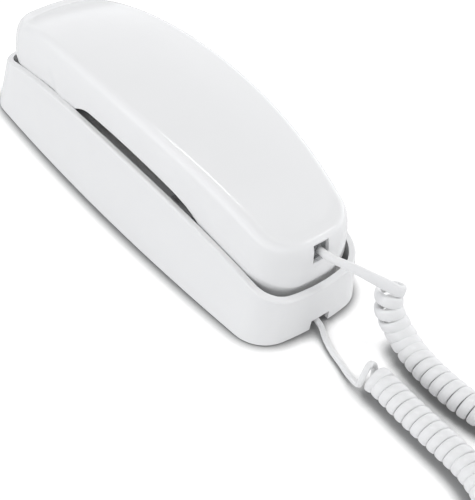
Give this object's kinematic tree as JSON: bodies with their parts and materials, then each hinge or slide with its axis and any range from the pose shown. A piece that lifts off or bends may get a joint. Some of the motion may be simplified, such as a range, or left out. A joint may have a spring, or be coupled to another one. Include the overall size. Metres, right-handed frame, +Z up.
{
  "type": "corded telephone",
  "caption": "Corded telephone with an arched handset lying face down on a boat-shaped base, joined by a curly cord with clear modular plugs.",
  "frame": {"origin": "on the floor under the middle of the base, cord left out", "axes": "+X across to the right, +Y along the phone away from the cord end, +Z up"},
  "size_m": [0.0888, 0.4153, 0.0685],
  "materials": {
    "base_plastic": "glossy white",
    "handset_plastic": "glossy white",
    "plate_plastic": "fine satin",
    "button_plastic": "satin",
    "dark_plastic": "satin",
    "clear_plug": "clear",
    "window": "clear",
    "card": "matte",
    "rubber": "matte",
    "membrane": "matte",
    "board": "solder mask",
    "steel": "zinc plated",
    "weight_iron": "painted",
    "aluminium": "satin",
    "gold": "gold flashed",
    "cord_jacket": "glossy white jacket"
  },
  "bodies": {
    "base": {"base_bottom_plate": "plate_plastic", "base_circuit_board": "board", "base_cord_jack": "dark_plastic", "base_plug": "clear_plug", "base_plug_contacts": "gold", "base_screws": "steel", "base_shell": "base_plastic", "base_weight": "weight_iron", "card_window": "window", "cord_coil": "cord_jacket", "cord_lead_base": "cord_jacket", "hook_spring": "steel", "hook_switch": "dark_plastic", "index_card": "card", "line_jack": "dark_plastic", "ringer": "dark_plastic", "rubber_feet": "rubber"},
    "handset": {"handset_back_shell": "handset_plastic", "handset_face_shell": "handset_plastic", "handset_jack": "dark_plastic", "handset_screws": "steel", "receiver": "dark_plastic", "receiver_gasket": "rubber", "microphone": "aluminium", "microphone_boot": "rubber", "handset_weight": "weight_iron", "keypad_membrane": "membrane", "keypad_board": "board", "handset_plug": "clear_plug", "handset_plug_contacts": "gold", "cord_lead_handset": "cord_jacket"},
    "key_1": {"key_1": "button_plastic"},
    "key_2": {"key_2": "button_plastic"},
    "key_3": {"key_3": "button_plastic"},
    "key_4": {"key_4": "button_plastic"},
    "key_5": {"key_5": "button_plastic"},
    "key_6": {"key_6": "button_plastic"},
    "key_7": {"key_7": "button_plastic"},
    "key_8": {"key_8": "button_plastic"},
    "key_9": {"key_9": "button_plastic"},
    "key_star": {"key_star": "button_plastic"},
    "key_0": {"key_0": "button_plastic"},
    "key_hash": {"key_hash": "button_plastic"},
    "key_flash": {"key_flash": "button_plastic"},
    "key_redial": {"key_redial": "button_plastic"},
    "key_mute": {"key_mute": "button_plastic"},
    "volume_slider": {"volume_slider": "button_plastic"},
    "hook_plunger": {"hook_plunger": "button_plastic"},
    "ringer_switch": {"ringer_switch": "button_plastic"}
  },
  "joints": [
    {"name": "handset_lift", "type": "slide", "parent": "base", "child": "handset", "axis": [0, 0, 1], "range_m": [0, 0.12]},
    {"name": "hook_rise", "type": "slide", "parent": "base", "child": "hook_plunger", "axis": [0, 0, 1], "range_m": [0, 0.004], "deforming": ["hook_spring"]},
    {"name": "ringer_switch_slide", "type": "slide", "parent": "base", "child": "ringer_switch", "axis": [0, 1, 0], "range_m": [-0.003, 0.003]},
    {"name": "volume_slide", "type": "slide", "parent": "handset", "child": "volume_slider", "axis": [1, 0, 0], "range_m": [-0.004, 0.004]},
    {"name": "key_1_press", "type": "slide", "parent": "handset", "child": "key_1", "axis": [0, 0, 1], "range_m": [0, 0.001], "stiffness_N_per_m": 300, "springref_m": -0.001},
    {"name": "key_2_press", "type": "slide", "parent": "handset", "child": "key_2", "axis": [0, 0, 1], "range_m": [0, 0.001], "stiffness_N_per_m": 300, "springref_m": -0.001},
    {"name": "key_3_press", "type": "slide", "parent": "handset", "child": "key_3", "axis": [0, 0, 1], "range_m": [0, 0.001], "stiffness_N_per_m": 300, "springref_m": -0.001},
    {"name": "key_4_press", "type": "slide", "parent": "handset", "child": "key_4", "axis": [0, 0, 1], "range_m": [0, 0.001], "stiffness_N_per_m": 300, "springref_m": -0.001},
    {"name": "key_5_press", "type": "slide", "parent": "handset", "child": "key_5", "axis": [0, 0, 1], "range_m": [0, 0.001], "stiffness_N_per_m": 300, "springref_m": -0.001},
    {"name": "key_6_press", "type": "slide", "parent": "handset", "child": "key_6", "axis": [0, 0, 1], "range_m": [0, 0.001], "stiffness_N_per_m": 300, "springref_m": -0.001},
    {"name": "key_7_press", "type": "slide", "parent": "handset", "child": "key_7", "axis": [0, 0, 1], "range_m": [0, 0.001], "stiffness_N_per_m": 300, "springref_m": -0.001},
    {"name": "key_8_press", "type": "slide", "parent": "handset", "child": "key_8", "axis": [0, 0, 1], "range_m": [0, 0.001], "stiffness_N_per_m": 300, "springref_m": -0.001},
    {"name": "key_9_press", "type": "slide", "parent": "handset", "child": "key_9", "axis": [0, 0, 1], "range_m": [0, 0.001], "stiffness_N_per_m": 300, "springref_m": -0.001},
    {"name": "key_star_press", "type": "slide", "parent": "handset", "child": "key_star", "axis": [0, 0, 1], "range_m": [0, 0.001], "stiffness_N_per_m": 300, "springref_m": -0.001},
    {"name": "key_0_press", "type": "slide", "parent": "handset", "child": "key_0", "axis": [0, 0, 1], "range_m": [0, 0.001], "stiffness_N_per_m": 300, "springref_m": -0.001},
    {"name": "key_hash_press", "type": "slide", "parent": "handset", "child": "key_hash", "axis": [0, 0, 1], "range_m": [0, 0.001], "stiffness_N_per_m": 300, "springref_m": -0.001},
    {"name": "key_flash_press", "type": "slide", "parent": "handset", "child": "key_flash", "axis": [0, 0, 1], "range_m": [0, 0.001], "stiffness_N_per_m": 300, "springref_m": -0.001},
    {"name": "key_redial_press", "type": "slide", "parent": "handset", "child": "key_redial", "axis": [0, 0, 1], "range_m": [0, 0.001], "stiffness_N_per_m": 300, "springref_m": -0.001},
    {"name": "key_mute_press", "type": "slide", "parent": "handset", "child": "key_mute", "axis": [0, 0, 1], "range_m": [0, 0.001], "stiffness_N_per_m": 300, "springref_m": -0.001}
  ],
  "couplings": [
    {"joint": "hook_rise", "follows": "handset_lift", "ratio": 0.033333}
  ]
}
